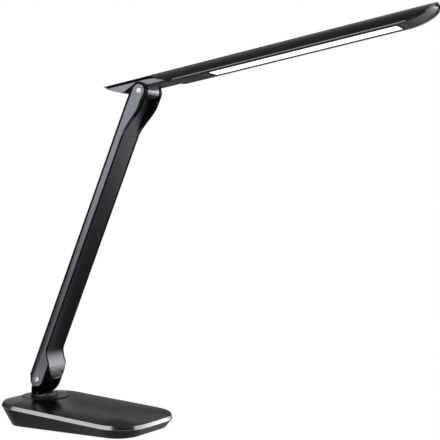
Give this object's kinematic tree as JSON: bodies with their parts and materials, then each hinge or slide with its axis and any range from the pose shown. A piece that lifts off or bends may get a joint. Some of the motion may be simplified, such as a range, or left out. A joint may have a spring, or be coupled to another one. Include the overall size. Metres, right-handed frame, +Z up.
{
  "type": "desk lamp",
  "caption": "Folding LED desk lamp: wedge base with swivel disc, flat leaning arm on a friction pivot, slim half-round lamp head with a flat light panel.",
  "frame": {"origin": "on the underside of the base pad, on the swivel axis of the arm", "axes": "+X forward, the way the head reaches over the base; +Y to the left seen from behind; +Z up"},
  "size_m": [0.541, 0.128, 0.4695],
  "materials": {
    "gloss_black": "glossy",
    "satin_black": "satin",
    "cast_weight": "rough cast",
    "rubber_black": "matt",
    "steel": "satin",
    "board_green": "satin",
    "spring_brass": "bright",
    "dark_disc": "glossy",
    "grey_plastic": "satin",
    "deep_black": "satin",
    "grey_metal": "fine satin",
    "dark_metal": "brushed satin",
    "bright_chrome": "polished",
    "friction_pale": "matt",
    "shell_metal": "satin anodised",
    "light_panel": "lit diffuser",
    "clear_guide": "clear acrylic",
    "white_sheet": "matt white",
    "raw_aluminium": "mill finish"
  },
  "bodies": {
    "base": {"base_top_cover": "gloss_black", "base_housing": "satin_black", "bottom_plate": "satin_black", "base_weight": "cast_weight", "rubber_pad": "rubber_black", "bottom_screws": "steel", "control_board": "board_green", "touch_springs": "spring_brass", "power_socket": "satin_black"},
    "turntable": {"swivel_disc": "dark_disc", "swivel_bolt": "steel", "swivel_washer": "steel", "swivel_spring": "steel", "swivel_nut": "steel", "neck_collar": "grey_plastic", "hinge_post": "deep_black"},
    "arm": {"arm_spine": "deep_black", "near_panel": "grey_metal", "far_panel": "grey_metal", "front_cover": "dark_metal", "lower_pin": "steel", "upper_pin": "steel", "pin_caps": "bright_chrome", "lower_washers": "friction_pale", "upper_washers": "friction_pale", "arm_cable": "rubber_black"},
    "head": {"head_shell": "shell_metal", "hinge_housing": "grey_plastic", "under_cover": "grey_plastic", "diffuser": "light_panel", "light_guide": "clear_guide", "reflector_sheet": "white_sheet", "led_strips": "white_sheet", "heat_spreader": "raw_aluminium", "head_screws": "steel"}
  },
  "joints": [
    {"name": "base_swivel", "type": "hinge", "parent": "base", "child": "turntable", "pos_m": [0, 0, 0.03], "axis": [0, 0, 1], "range_deg": [-90, 90]},
    {"name": "arm_pivot", "type": "hinge", "parent": "turntable", "child": "arm", "pos_m": [0, 0, 0.0535], "axis": [0, 1, 0], "range_deg": [-40, 66.25]},
    {"name": "head_pivot", "type": "hinge", "parent": "arm", "child": "head", "pos_m": [0.15304, 0, 0.40132], "axis": [0, 1, 0], "range_deg": [-30, 121.75]}
  ]
}
